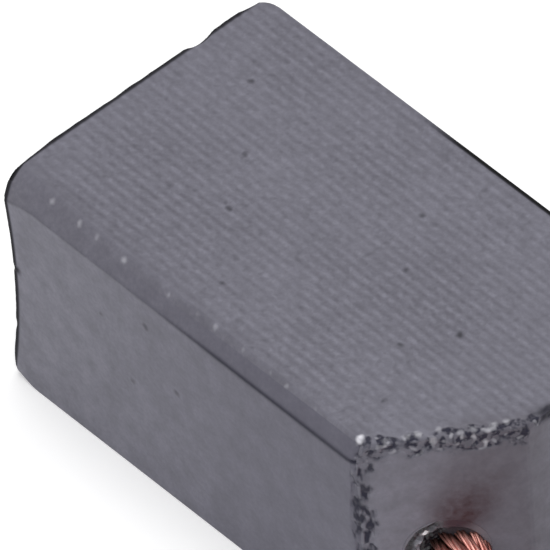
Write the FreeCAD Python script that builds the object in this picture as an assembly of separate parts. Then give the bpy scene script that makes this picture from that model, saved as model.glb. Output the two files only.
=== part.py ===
import FreeCAD
import Part
import math
import os

# Carbon brush: a pressed carbon block with a copper shunt tamped into its cut corner,
# and a crimped ring terminal on the shunt's far end. Millimetres, +Z up.
# The block stands on its broad face, centred on the origin: contact face at -X, wire end at +X.

# Carbon block
block_length = 14.2
block_width = 8.0
block_height = 6.5
chamfer_length = 2.25       # the cut corner, measured along the block's length
chamfer_width = 3.15        # the cut corner, measured across its width
contact_radius = 17.0       # radius ground into the contact face by the commutator
contact_height = 3.6        # height at which the contact face is deepest
back_corner_radius = 0.5    # worn upright corner of the contact face, +Y side
front_corner_radius = 0.1   # worn upright corner of the contact face, -Y side
wear_top_contact = 0.56     # worn bevel along the top -Y edge: its width on the top at the contact face
wear_top_wire = 0.28        # and at the wire end
wear_side_contact = 0.47    # its height on the side at the contact face
wear_side_wire = 0.57       # and at the wire end
chips = (                   # crumbs out of the contact face's top edge: place across, radius, depth
    (2.05, 0.9, 0.14),
    (-0.55, 2.7, 0.08),
)
nick_radius = 0.25          # small nick in the upright corner at -Y
nick_depth = 0.11
nick_height = 4.0

# Shunt hole: drilled square into the chamfer, blind, with a drill-point bottom
hole_diameter = 2.0
hole_depth = 4.0
hole_height = 2.8
drill_point_angle = 118.0

# Tamped powder round the rope
plug_recess = 0.18          # its face lies this far below the chamfer
shunt_offset = 0.12         # the rope was tamped this far off the hole's middle, towards the wire end
fit_clearance = 0.01        # between the powder, the hole and the rope

# Copper rope
rope_diameter = 1.4
rope_outside = 0.5          # the route's first point outside the exit
rope_falling = 1.8          # height of the next one, where the rope comes down
rope_floor_gap = 0.02       # where it lies, it is this far clear of the surface
# Steps along the surface from the exit to the route's other points. The first is where the rope
# comes down, the next two lie on the surface, and the last two carry the terminal.
rope_steps = (
    (4.75, -1.75),
    (9.60, -2.00),
    (14.70, -0.20),
    (19.10, 3.40),
    (21.80, 8.30),
)

# Ring terminal, folded from one sheet
sheet_thickness = 0.5
ring_diameter = 6.0
stud_hole_diameter = 3.2
tongue_width = 2.3
tongue_fillet = 1.0
neck_length = 1.6
barrel_length = 2.8
barrel_seam = 0.12          # open joint of the rolled barrel
rope_past_barrel = 0.3      # the rope's end shows this far past the barrel
crimp_radius = 0.9
crimp_depth = 0.18

UP = FreeCAD.Vector(0, 0, 1)


def point(x, y, z=0.0):
    return FreeCAD.Vector(x, y, z)


def rounded_outline(corners, z=0.0):
    """Closed wire through (x, y, radius) corners, each rounded by a tangent arc of its radius."""
    edges = []
    starts = []
    count = len(corners)
    for number in range(count):
        before = point(*corners[number - 1][:2], z)
        here = point(*corners[number][:2], z)
        after = point(*corners[(number + 1) % count][:2], z)
        radius = corners[number][2]
        to_before = (before - here).normalize()
        to_after = (after - here).normalize()
        half = to_before.getAngle(to_after) / 2
        reach = radius / math.tan(half)
        inward = (to_before + to_after).normalize()
        middle = here + inward * (radius / math.sin(half) - radius)
        starts.append((here + to_before * reach, middle, here + to_after * reach, radius))
    for number in range(count):
        arc_start, middle, arc_end, radius = starts[number]
        if radius > 0:
            edges.append(Part.Arc(arc_start, middle, arc_end).toShape())
        next_start = starts[(number + 1) % count][0]
        edges.append(Part.LineSegment(arc_end, next_start).toShape())
    return Part.Wire(edges)


def chamfer_frame():
    """Middle of the chamfer at the surface's level, and its outward direction."""
    corner_on_side = point(block_length / 2 - chamfer_length, -block_width / 2)
    corner_on_end = point(block_length / 2, -block_width / 2 + chamfer_width)
    along = (corner_on_end - corner_on_side).normalize()
    outward = point(along.y, -along.x)
    return (corner_on_side + corner_on_end) * 0.5, outward


def shunt_exit():
    """Centre of the shunt hole's mouth, and the direction out of the hole."""
    middle, outward = chamfer_frame()
    return middle + UP * hole_height, outward


def rope_exit():
    """Where the rope's line crosses the chamfer, and its direction out of the hole."""
    exit_point, outward = shunt_exit()
    along = point(-outward.y, outward.x)
    return exit_point + along * shunt_offset, outward


def contact_reach():
    """Half chord of the contact face's arc, out to whichever edge is farther from its deepest line."""
    return max(contact_height, block_height - contact_height)


def contact_hollow(height):
    """How far the contact face lies inside the block's length at a height."""
    rise = height - contact_height
    edge = math.sqrt(contact_radius ** 2 - contact_reach() ** 2)
    return math.sqrt(contact_radius ** 2 - rise ** 2) - edge


def block_body():
    """Pressed block: the plan outline with its cut corner, carried up the full height."""
    half_length = block_length / 2
    half_width = block_width / 2
    outline = rounded_outline((
        (-half_length, -half_width, front_corner_radius),
        (half_length - chamfer_length, -half_width, 0),
        (half_length, -half_width + chamfer_width, 0),
        (half_length, half_width, 0),
        (-half_length, half_width, back_corner_radius),
    ))
    return Part.Face(outline).extrude(UP * block_height)


def commutator_cutter():
    """Cylinder across the width that leaves the contact face hollow to the commutator's radius."""
    axis_x = -block_length / 2 - math.sqrt(contact_radius ** 2 - contact_reach() ** 2)
    start = point(axis_x, -block_width, contact_height)
    return Part.makeCylinder(contact_radius, 2 * block_width, start, point(0, 1))


def wear_cutter():
    """Wedge along the top -Y edge whose two legs change from the contact face to the wire end."""
    over = 0.5
    half_length = block_length / 2
    sections = []
    for x in (-half_length - over, half_length):
        share = (x + half_length) / (block_length - chamfer_length)
        top_leg = wear_top_contact + (wear_top_wire - wear_top_contact) * share
        side_leg = wear_side_contact + (wear_side_wire - wear_side_contact) * share
        on_side = point(x, -block_width / 2, block_height - side_leg)
        on_top = point(x, -block_width / 2 + top_leg, block_height)
        downhill = (on_side - on_top).normalize()
        low = on_side + downhill * over
        high = on_top - downhill * over
        outside = point(x, low.y, high.z)
        sections.append(Part.makePolygon([low, high, outside, low]))
    return Part.makeLoft(sections, True, True)


def chip_cutters():
    """Balls that take shallow crumbs out of the contact face's top edge and upright corner."""
    cutters = []
    top_edge = -block_length / 2 + contact_hollow(block_height)
    for place, radius, depth in chips:
        lift = (radius - depth) / math.sqrt(2)
        centre = point(top_edge - lift, place, block_height + lift)
        cutters.append(Part.makeSphere(radius, centre))
    corner = -block_length / 2 + contact_hollow(nick_height)
    step_out = (nick_radius - nick_depth) / math.sqrt(2)
    nick = point(corner - step_out, -block_width / 2 - step_out, nick_height)
    cutters.append(Part.makeSphere(nick_radius, nick))
    return cutters


def drilled_hole(diameter, mouth):
    """Drill-shaped solid down the shunt hole, its flat end `mouth` mm outside the chamfer."""
    exit_point, outward = shunt_exit()
    radius = diameter / 2
    tip = radius / math.tan(math.radians(drill_point_angle / 2))
    profile = Part.makePolygon([
        exit_point + outward * mouth,
        exit_point + outward * mouth + UP * radius,
        exit_point - outward * hole_depth + UP * radius,
        exit_point - outward * (hole_depth + tip),
        exit_point + outward * mouth,
    ])
    return Part.Face(profile).revolve(exit_point, outward, 360)


def carbon_block():
    block = block_body().cut(commutator_cutter())
    block = block.cut(wear_cutter())
    for cutter in chip_cutters():
        block = block.cut(cutter)
    return block.cut(drilled_hole(hole_diameter, hole_diameter))


def rope_route():
    """The rope's route: hole bottom, just outside the exit, then the steps along the surface."""
    exit_point, outward = rope_exit()
    route = [exit_point - outward * hole_depth, exit_point + outward * rope_outside]
    lying = rope_diameter / 2 + rope_floor_gap
    in_barrel = rope_diameter / 2 + sheet_thickness
    heights = (rope_falling, lying, lying, in_barrel, in_barrel)
    for (step_x, step_y), height in zip(rope_steps, heights):
        route.append(point(exit_point.x + step_x, exit_point.y + step_y, height))
    return route


def rope_path(route):
    """Straight runs joined by tangent arcs, each arc as large as its two runs allow."""
    edges = []
    radii = []
    start = route[0]
    for before, here, after in zip(route, route[1:], route[2:]):
        to_before = before - here
        to_after = after - here
        shorter = min(to_before.Length, to_after.Length)
        to_before.normalize()
        to_after.normalize()
        half_turn = (math.pi - to_before.getAngle(to_after)) / 2
        reach = 0.45 * shorter
        radius = reach / math.tan(half_turn)
        inward = (to_before + to_after).normalize()
        middle = here + inward * (radius / math.cos(half_turn) - radius)
        arc_start = here + to_before * reach
        arc_end = here + to_after * reach
        edges.append(Part.LineSegment(start, arc_start).toShape())
        edges.append(Part.Arc(arc_start, middle, arc_end).toShape())
        radii.append(radius)
        start = arc_end
    edges.append(Part.LineSegment(start, route[-1]).toShape())
    return Part.Wire(edges), radii


def rope_tube(diameter):
    """Round tube of the given diameter along the rope's path."""
    route = rope_route()
    path, _ = rope_path(route)
    section = Part.Wire(Part.makeCircle(diameter / 2, route[0], route[1] - route[0]))
    return path.makePipeShell([section], True, True)


def tamping_plug():
    """Powder that fills the hole round the rope and below its end, to just under the chamfer."""
    powder = drilled_hole(hole_diameter - 2 * fit_clearance, -plug_recess)
    return powder.cut(rope_tube(rope_diameter + 2 * fit_clearance))


def terminal_frame():
    """Point under the rope's end at the surface's level, and the rope's last direction."""
    route = rope_route()
    ahead = route[-1] - route[-2]
    ahead.z = 0
    return point(route[-1].x, route[-1].y), math.degrees(math.atan2(ahead.y, ahead.x))


def rolled_sheet(start, length, outer, inner):
    """Sheet rolled into a tube along the rope, resting on the surface."""
    centre = point(start, 0, outer)
    ahead = point(1, 0)
    outside = Part.makeCylinder(outer, length, centre, ahead)
    return outside.cut(Part.makeCylinder(inner, length, centre, ahead))


def terminal_barrel(outer, inner):
    """Sheet rolled round the rope, with its open seam on top and one crosswise crimp."""
    back = -rope_past_barrel - barrel_length
    barrel = rolled_sheet(back, barrel_length, outer, inner)
    seam = Part.makeBox(barrel_length, barrel_seam, outer, point(back, -barrel_seam / 2, outer))
    crimp_height = 2 * outer - crimp_depth + crimp_radius
    crimp_start = point(back + barrel_length / 2, -outer, crimp_height)
    crimp = Part.makeCylinder(crimp_radius, 2 * outer, crimp_start, point(0, 1))
    return barrel.cut(seam).cut(crimp)


def terminal_neck(outer, inner):
    """Trough from the barrel to the tongue, its walls sloping down to the flat sheet."""
    front = neck_length - rope_past_barrel
    trough = rolled_sheet(-rope_past_barrel, neck_length, outer, inner)
    slope = Part.makePolygon([
        point(-rope_past_barrel, -outer, outer),
        point(front, -outer, sheet_thickness),
        point(front, -outer, 2 * outer),
        point(-rope_past_barrel, -outer, 2 * outer),
        point(-rope_past_barrel, -outer, outer),
    ])
    return trough.cut(Part.Face(slope).extrude(point(0, 2 * outer)))


def terminal_tongue():
    """Flat strip that widens by two tangent fillets into the ring, with the stud hole."""
    ring = ring_diameter / 2
    half = tongue_width / 2
    centre_x = neck_length - rope_past_barrel + ring
    fillet_x = centre_x - math.sqrt((ring + tongue_fillet) ** 2 - (half + tongue_fillet) ** 2)
    fillet_centre = point(fillet_x, half + tongue_fillet)
    centre = point(centre_x, 0)
    touch = centre + (fillet_centre - centre).normalize() * ring
    fillet_start = point(fillet_x, half)
    toward = (fillet_start + touch) * 0.5 - fillet_centre
    fillet_middle = fillet_centre + toward.normalize() * tongue_fillet
    back = point(-rope_past_barrel, half)

    def mirrored(spot):
        return point(spot.x, -spot.y)

    outline = Part.Wire([
        Part.LineSegment(mirrored(back), back).toShape(),
        Part.LineSegment(back, fillet_start).toShape(),
        Part.Arc(fillet_start, fillet_middle, touch).toShape(),
        Part.Arc(touch, centre + point(ring, 0), mirrored(touch)).toShape(),
        Part.Arc(mirrored(touch), mirrored(fillet_middle), mirrored(fillet_start)).toShape(),
        Part.LineSegment(mirrored(fillet_start), mirrored(back)).toShape(),
    ])
    sheet = Part.Face(outline).extrude(UP * sheet_thickness)
    stud_hole = Part.makeCylinder(stud_hole_diameter / 2, sheet_thickness, centre, UP)
    return sheet.cut(stud_hole)


def ring_terminal():
    inner = rope_diameter / 2 + fit_clearance
    outer = inner + sheet_thickness
    terminal = terminal_barrel(outer, inner).fuse([terminal_neck(outer, inner), terminal_tongue()])
    terminal = terminal.removeSplitter()
    spot, heading = terminal_frame()
    terminal.rotate(point(0, 0), UP, heading)
    terminal.translate(spot)
    return terminal


def print_rope_facts(tube):
    path, radii = rope_path(rope_route())
    section = math.pi * rope_diameter ** 2 / 4
    print("rope length", round(path.Length, 2))
    print("rope radii", [round(radius, 1) for radius in radii])
    print("rope volume over section times length", round(tube.Volume / (section * path.Length), 4))


def write_parts():
    os.makedirs("parts", exist_ok=True)
    rope = rope_tube(rope_diameter)
    nodes = {
        "carbon_block": carbon_block(),
        "tamping_plug": tamping_plug(),
        "copper_shunt": rope,
        "ring_terminal": ring_terminal(),
    }
    for name, shape in nodes.items():
        shape.exportStep("parts/" + name + ".step")
        print(name, len(shape.Solids), round(shape.Volume, 3), shape.isValid())
    print_rope_facts(rope)


write_parts()
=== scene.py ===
import math
from functools import partial
from itertools import product

import bmesh
import bpy
import numpy as np
from mathutils import Matrix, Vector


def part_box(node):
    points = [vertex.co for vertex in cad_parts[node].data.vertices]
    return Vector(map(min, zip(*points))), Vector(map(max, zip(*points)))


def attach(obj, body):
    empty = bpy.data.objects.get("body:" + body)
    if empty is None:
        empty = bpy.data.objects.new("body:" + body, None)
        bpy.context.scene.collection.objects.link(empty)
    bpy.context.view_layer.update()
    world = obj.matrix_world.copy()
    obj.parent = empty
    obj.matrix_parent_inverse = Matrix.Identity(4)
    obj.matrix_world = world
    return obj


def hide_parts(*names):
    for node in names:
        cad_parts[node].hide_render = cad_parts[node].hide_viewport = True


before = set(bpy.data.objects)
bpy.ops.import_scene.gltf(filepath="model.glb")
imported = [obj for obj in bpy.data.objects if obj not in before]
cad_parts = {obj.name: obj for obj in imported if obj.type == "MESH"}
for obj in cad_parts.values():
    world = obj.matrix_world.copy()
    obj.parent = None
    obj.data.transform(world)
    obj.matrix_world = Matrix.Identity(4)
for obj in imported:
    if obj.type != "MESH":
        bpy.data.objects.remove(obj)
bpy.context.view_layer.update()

mm = 0.001                                   # the pieces are worked out in mm and stored in metres
perMm = (1000, 1000, 1000)                   # turns a place in metres into mm inside a material
upward = np.array([0.0, 0.0, 1.0])


def nodeSize(node):
    # length, width and height of a CAD node in mm
    low, high = (np.array(corner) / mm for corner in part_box(node))
    return high - low


blockLength, blockWidth, blockHeight = nodeSize("carbon_block")
halfLength, halfWidth = blockLength / 2, blockWidth / 2
cutCorner = {"length": 2.25, "width": 3.15}  # the flat cut across the -Y corner of the wire end
shuntHole = {"radius": 1.0, "depth": 4.0, "height": 2.8, "pointAngle": 118.0}

# direction along the cut, its outward direction, and the middle of its foot
cutAlong = np.array([cutCorner["length"], cutCorner["width"], 0.0])
cutAlong = cutAlong / np.linalg.norm(cutAlong)
cutOut = np.array([cutAlong[1], -cutAlong[0], 0.0])
cutMiddle = np.array([halfLength - cutCorner["length"] / 2, cutCorner["width"] / 2 - halfWidth, 0.0])
holeMouth = cutMiddle + shuntHole["height"] * upward


def toLinear(code):
    # sRGB hex to linear colour: power curve with a straight toe
    part = np.array([int(code[k:k + 2], 16) for k in (0, 2, 4)]) / 255
    value = np.where(part <= 0.04045, part / 12.92, ((part + 0.055) / 1.055) ** 2.4)
    return (*value.tolist(), 1.0)


def addNode(tree, kind, settings=None, links=None, **fields):
    # one shader node with its own fields, its socket values, and what feeds its sockets: a socket,
    # or a node for that node's first output
    node = tree.nodes.new("ShaderNode" + kind)
    for name, value in fields.items():
        setattr(node, name, value)
    for name, value in (settings or {}).items():
        node.inputs[name].default_value = value
    for name, source in (links or {}).items():
        tree.links.new(getattr(source, "outputs", [source])[0], node.inputs[name])
    return node


def newMaterial(name):
    # an empty material and a short way to add nodes to it
    material = bpy.data.materials.new(name)
    material.use_nodes = True
    material.node_tree.nodes.clear()
    return material, partial(addNode, material.node_tree)


def latticeValues(cells, seed):
    # one repeatable value from -1 to 1 for each lattice cell, by mixing its whole-number place
    x, y, z = (cells[..., k].astype(np.uint64) for k in range(3))
    mixed = x * np.uint64(73856093) ^ y * np.uint64(19349663) ^ z * np.uint64(83492791)
    mixed = (mixed ^ np.uint64(seed * 2654435 + 97)) * np.uint64(0x9E3779B97F4A7C15)
    mixed = (mixed ^ (mixed >> np.uint64(29))) * np.uint64(0xBF58476D1CE4E5B9)
    return (mixed >> np.uint64(40)).astype(float) / 2 ** 23 - 1


def softNoise(points, cell, seed):
    # random lattice values blended between cells by a smooth step, from -1 to 1
    place = np.asarray(points) / cell + 1000.5
    base = np.floor(place)
    part = place - base
    part = part * part * (3 - 2 * part)
    total = 0.0
    for corner in product((0, 1), repeat=3):
        share = np.prod(np.where(np.array(corner) == 1, part, 1 - part), axis=-1)
        total = total + share * latticeValues(base + np.array(corner), seed)
    return total


def layeredNoise(points, cell, seed):
    # a soft noise and another half as wide and half as strong, from -1 to 1
    return (softNoise(points, cell, seed) + softNoise(points, cell / 2, seed + 1) / 2) / 1.5


def crumbCells(points, cell, seed):
    # each point belongs to the nearest of one random centre per lattice cell: how much farther the
    # second nearest is, and that crumb's own value from -1 to 1
    place = np.asarray(points) / cell + 1000.5
    base = np.floor(place)
    nearest = np.full(place.shape[:-1], 9.0)
    second = nearest.copy()
    own = np.zeros_like(nearest)
    for corner in product((-1, 0, 1), repeat=3):
        at = base + np.array(corner)
        shift = np.stack([latticeValues(at, seed + k) for k in range(3)], axis=-1)
        away = np.linalg.norm(place - at - 0.5 - 0.42 * shift, axis=-1)
        closer = away < nearest
        second = np.where(closer, nearest, np.minimum(second, away))
        own = np.where(closer, latticeValues(at, seed + 3), own)
        nearest = np.where(closer, away, nearest)
    return second - nearest, own


def smoothStep(value, low, high):
    # 0 up to low and 1 from high on, with a smooth rise between: 3 t squared minus 2 t cubed
    part = np.clip((value - low) / (high - low), 0, 1)
    return part * part * (3 - 2 * part)


def spread(low, high, cells, crowd):
    # steps from low to high that crowd towards both ends: t minus a share of sin(2 pi t)
    t = np.linspace(0, 1, cells + 1)
    return low + (high - low) * (t - crowd * np.sin(2 * math.pi * t) / (2 * math.pi))


def gridFaces(rows, columns, closedColumns=False):
    # quads of a grid of numbered points, its columns wrapped round where they are closed
    across = columns if closedColumns else columns - 1
    r, c = np.meshgrid(np.arange(rows - 1), np.arange(across), indexing="ij")
    nextColumn = (c + 1) % columns
    lower, upper = r * columns, (r + 1) * columns
    return np.stack((lower + c, upper + c, upper + nextColumn, lower + nextColumn), axis=-1).reshape(-1, 4)


def buildMesh(name, points, faces, material, attributes=None, bigFaces=()):
    # a mesh object at the origin from points in mm, quads and a few many-sided faces
    bigFaces = [np.asarray(face) for face in bigFaces]
    loops = np.concatenate([faces.ravel(), *bigFaces]).astype(np.int32)
    sizes = np.array([faces.shape[1]] * len(faces) + [len(face) for face in bigFaces], dtype=np.int32)
    starts = np.concatenate([[0], np.cumsum(sizes)[:-1]]).astype(np.int32)
    mesh = bpy.data.meshes.new(name)
    mesh.vertices.add(len(points))
    mesh.vertices.foreach_set("co", (np.asarray(points) * mm).astype(np.float32).ravel())
    mesh.loops.add(len(loops))
    mesh.loops.foreach_set("vertex_index", loops)
    mesh.polygons.add(len(sizes))
    mesh.polygons.foreach_set("loop_start", starts)
    mesh.polygons.foreach_set("use_smooth", sizes == faces.shape[1])
    mesh.update(calc_edges=True)
    mesh.validate()
    for label, values in (attributes or {}).items():
        layer = mesh.attributes.new(label, "FLOAT", "POINT")
        layer.data.foreach_set("value", np.asarray(values, dtype=np.float32))
    mesh.materials.append(material)
    piece = bpy.data.objects.new(name, mesh)
    bpy.context.scene.collection.objects.link(piece)
    return piece


blockStyle = {
    "bandRows": 14,            # grid cells over the worn band, the rest of the cut and the square end
    "cutRows": 80,
    "endRows": 80,
    "columns": 148,            # along the length
    "lowLevels": 16,           # up to the hole's middle, from there to the worn band, over the band
    "midLevels": 60,
    "bandLevels": 16,
    "contactRadius": 17.0,
    "contactHeight": 3.6,      # height at which the contact face is deepest
    "bandTop": (0.56, 0.28),   # the worn band's width on the top, at the contact face and at the wire end
    "bandSide": (0.47, 0.57),  # and its height on the side
    "bandBulge": 0.014,
    "contactFlare": 0.1,       # share of the length over which the band widens to the contact face
}
chips = (                      # worn places of the contact face's top edge: place across, radius, depth
    (2.05, 0.9, 0.14),
    (-0.55, 2.7, 0.05),
    (3.75, 2.0, 0.1),
)
nicks = (                      # dents in the upright corner at -Y: height, radius, depth
    (3.72, 0.2, 0.05),
    (1.85, 0.5, 0.05),
)


def endX(y):
    # x of the wire end at each y: the cut corner, then the square end
    share = np.clip((y + halfWidth) / cutCorner["width"], 0, 1)
    return halfLength - cutCorner["length"] * (1 - share)


def contactHollow(z):
    # how far the contact face lies inside the block's length: a circle across the height
    radius, middle = blockStyle["contactRadius"], blockStyle["contactHeight"]
    reach = max(middle, blockHeight - middle)
    return np.sqrt(radius ** 2 - (z - middle) ** 2) - math.sqrt(radius ** 2 - reach ** 2)


def blockPoint(s, y, z, depth):
    # s runs from the contact face to the wire end at each y and z; depth goes down the shunt hole
    start = contactHollow(z) - halfLength
    x = start + (endX(y) - start) * s
    return np.stack([x, y, z], axis=-1) - depth[..., None] * cutOut


def bandLegs(s):
    # the worn band's two legs change evenly from the contact face to the cut corner, and flare out
    # where the corner at the contact face is rubbed round
    top, side = blockStyle["bandTop"], blockStyle["bandSide"]
    flare = np.maximum(1 - s / blockStyle["contactFlare"], 0) ** 2
    return top[0] + (top[1] - top[0]) * s + 0.12 * flare, side[0] + (side[1] - side[0]) * s + 0.26 * flare


def planeDistances(p):
    # how far inside each of the block's faces a point lies
    return {
        "side": p[:, 1] + halfWidth,
        "back": halfWidth - p[:, 1],
        "top": blockHeight - p[:, 2],
        "bottom": p[:, 2],
        "end": halfLength - p[:, 0],
        "cut": (cutMiddle - p) @ cutOut,
        "contact": p[:, 0] + halfLength - contactHollow(p[:, 2]),
    }


faceNormals = {
    "side": np.array([0.0, -1, 0]),
    "back": np.array([0.0, 1, 0]),
    "top": upward,
    "bottom": -upward,
    "end": np.array([1.0, 0, 0]),
    "cut": cutOut,
    "contact": np.array([-1.0, 0, 0]),
}


def roundEdge(distances, first, second, radius):
    # an edge rounded to a radius: points closer than it to both faces go back onto the circle
    fromFirst = np.maximum(radius - distances[first], 0)
    fromSecond = np.maximum(radius - distances[second], 0)
    length = np.hypot(fromFirst, fromSecond)
    share = np.maximum(length - radius, 0) / np.maximum(length, 1e-9)
    push = fromFirst[:, None] * faceNormals[first] + fromSecond[:, None] * faceNormals[second]
    return -push * share[:, None]


def wearBand(distances, topLeg, sideLeg, bulge):
    # the top -Y edge worn off: points outside the plane through both legs go straight back onto it,
    # and the band crowns a little between the legs
    steep = np.hypot(1 / topLeg, 1 / sideLeg)
    past = np.maximum(1 - distances["side"] / topLeg - distances["top"] / sideLeg, 0) / steep
    across = np.clip(distances["side"] / topLeg - distances["top"] / sideLeg, -1, 1)
    crown = bulge * (1 - across ** 2) * (past > 0)
    outward = faceNormals["side"] / topLeg[:, None] + faceNormals["top"] / sideLeg[:, None]
    return -np.maximum(past - crown, 0)[:, None] * (outward / steep[:, None])


def ballDent(p, centre, radius):
    # points inside a ball go straight out onto it
    offset = p - centre
    away = np.linalg.norm(offset, axis=1)
    return offset * (np.maximum(radius / np.maximum(away, 1e-6), 1) - 1)[:, None]


def blockGrid():
    # the block's sheets as grids of (s, y, z, depth) that meet along shared edges; the rows and levels
    # next to the worn band follow its two edges
    style = blockStyle
    s = spread(0, 1, style["columns"], 0.76)[:, None]
    topLeg, sideLeg = bandLegs(s)
    corner = cutCorner["width"] - halfWidth
    rows = np.concatenate([
        -halfWidth + topLeg * np.linspace(0, 1, style["bandRows"] + 1),
        -halfWidth + topLeg + (corner + halfWidth - topLeg) * spread(0, 1, style["cutRows"], 0.25)[1:],
        np.broadcast_to(spread(corner, halfWidth, style["endRows"], 0.6)[1:], (len(s), style["endRows"])),
    ], axis=1)
    middle = shuntHole["height"] - 0.3
    belowBand = blockHeight - sideLeg
    levels = np.concatenate([
        np.broadcast_to(spread(0, middle, style["lowLevels"], 0.8), (len(s), style["lowLevels"] + 1)),
        middle + (belowBand - middle) * spread(0, 1, style["midLevels"], 0.3)[1:],
        belowBand + sideLeg * np.linspace(0, 1, style["bandLevels"] + 1)[1:],
    ], axis=1)

    def sheet(along, y, z, flip=False):
        # one side of the block as points and quads, which are turned over where its grid faces inwards
        points = np.stack(np.broadcast_arrays(along, y, z, 0.0), axis=-1)
        faces = gridFaces(*points.shape[:2])
        return points, faces[:, ::-1] if flip else faces

    sheets = [
        sheet(s, rows, blockHeight),
        sheet(1.0, rows[-1][:, None], levels[-1][None, :]),
        sheet(0.0, rows[0][:, None], levels[0][None, :], True),
        sheet(s, -halfWidth, levels),
        sheet(s, halfWidth, levels, True),
    ]
    return rows, levels, sheets


def bottomRings(sheets):
    # the foot's outline, clockwise from above, and copies of it drawn in by a few steps
    end, contact, side, back = (points[:, 0] for points, _ in sheets[1:])
    outline = np.concatenate([contact[:-1], back[:-1], end[:0:-1], side[:0:-1]])
    steps = np.array([0.0, 0.04, 0.12, 0.24, 0.4, 0.7])[:, None]
    s = 0.5 + (outline[:, 0] - 0.5) * (1 - 2 * steps / blockLength)
    y = outline[:, 1] * (1 - steps / halfWidth)
    points = np.stack(np.broadcast_arrays(s, y, 0.0, 0.0), axis=-1)
    return points, gridFaces(*points.shape[:2], closedColumns=True)[:, ::-1]


def holePatch(rows, levels):
    # the square of the cut round the hole, carried by rings onto the mouth, down the bore and its point
    reach = shuntHole["radius"] * 1.2
    centreY, centreZ = holeMouth[1], holeMouth[2]
    lowRow = np.searchsorted(rows, centreY - reach * cutAlong[1]) - 1
    highRow = np.searchsorted(rows, centreY + reach * cutAlong[1])
    lowLevel = np.searchsorted(levels, centreZ - reach) - 1
    highLevel = np.searchsorted(levels, centreZ + reach)
    y, z = rows[lowRow:highRow + 1], levels[lowLevel:highLevel + 1]
    loopY = np.concatenate([y[:-1], np.full(len(z) - 1, y[-1]), y[:0:-1], np.full(len(z) - 1, y[0])])
    loopZ = np.concatenate([np.full(len(y) - 1, z[0]), z[:-1], np.full(len(y) - 1, z[-1]), z[:0:-1]])
    angle = np.arctan2(loopZ - centreZ, (loopY - centreY) / cutAlong[1])
    circle = np.stack([np.cos(angle), np.sin(angle), 0 * angle], axis=-1)
    openSide = smoothStep(-circle[:, 0], -0.45, 0.2)
    rough = 0.03 * layeredNoise(circle, 0.34, 11) * openSide
    mouth = shuntHole["radius"] + np.maximum(rough, -0.01)
    ease = np.linspace(0, 1, 16)[:, None] ** 0.7
    ringY = loopY * (1 - ease) + (centreY + mouth * circle[:, 0] * cutAlong[1]) * ease
    ringZ = loopZ * (1 - ease) + (centreZ + mouth * circle[:, 1]) * ease
    fromMouth = np.hypot((ringY - centreY) / cutAlong[1], ringZ - centreZ) - mouth
    lip = 0.04 + 0.02 * softNoise(circle, 0.5, 17)
    ringDepth = 0.02 * np.clip(1 - fromMouth / lip, 0, 1) ** 2 * openSide
    boreDepth = np.array([0.05, 0.1, 0.2, 0.3, 0.5, 0.9, 1.6, 2.4, 3.3, shuntHole["depth"]])[:, None]
    boreRadius = shuntHole["radius"] + np.maximum(rough, -0.01) * np.exp(-boreDepth / 0.3)
    tip = shuntHole["radius"] / math.tan(math.radians(shuntHole["pointAngle"] / 2))
    tipShare = np.array([0.5, 0.03])[:, None]
    downRadius = np.concatenate([boreRadius, shuntHole["radius"] * tipShare * np.ones_like(angle)])
    downDepth = np.concatenate([boreDepth, shuntHole["depth"] + tip * (1 - tipShare)])
    allY = np.concatenate([ringY, centreY + downRadius * circle[:, 0] * cutAlong[1]])
    allZ = np.concatenate([ringZ, centreZ + downRadius * circle[:, 1]])
    allDepth = np.concatenate([ringDepth, np.broadcast_to(downDepth, downRadius.shape)])
    points = np.stack(np.broadcast_arrays(1.0, allY, allZ, allDepth), axis=-1)
    faces = gridFaces(*points.shape[:2], closedColumns=True)[:, ::-1]
    return points, faces, (lowRow, highRow, lowLevel, highLevel)


def weldPoints(groups):
    # one list of points in which equal points of all groups share a number
    stacked = np.concatenate([group.reshape(-1, 4) for group in groups])
    keys = np.round(stacked * 1e6).astype(np.int64)
    _, first, number = np.unique(keys, axis=0, return_index=True, return_inverse=True)
    ends = np.cumsum([group.size // 4 for group in groups])
    return stacked[first], np.split(number.ravel(), ends[:-1])


rimStyle = {
    "reach": 0.46,             # how far crumbs are missing from the edges round the cut
    "depth": 0.1,
    "betweenClusters": 0.1,    # how busy the crumbling is between the clusters, and on upright edges
    "upright": 0.68,
    "creviceShade": (0.08, 0.13),     # painted shade of a crevice along the square end's top edge: its place and half its width
    "creviceShadeStart": -0.95,       # and the y from which it runs
}
rimEdges = (                   # two faces that meet at a crumbling edge, and how soon it ends on each
    ("cut", "top", 0.62, 1.2),
    ("cut", "side", 0.95, 1.7),
    ("end", "top", 1.3, 1.6),
)
rimClusters = (                # place along the cut's top edge where many crumbs are gone, half its width
    (-1.5, 0.32),
    (-0.45, 0.25),
    (0.15, 0.3),
    (0.9, 0.38),
    (1.8, 0.4),
)


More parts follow.
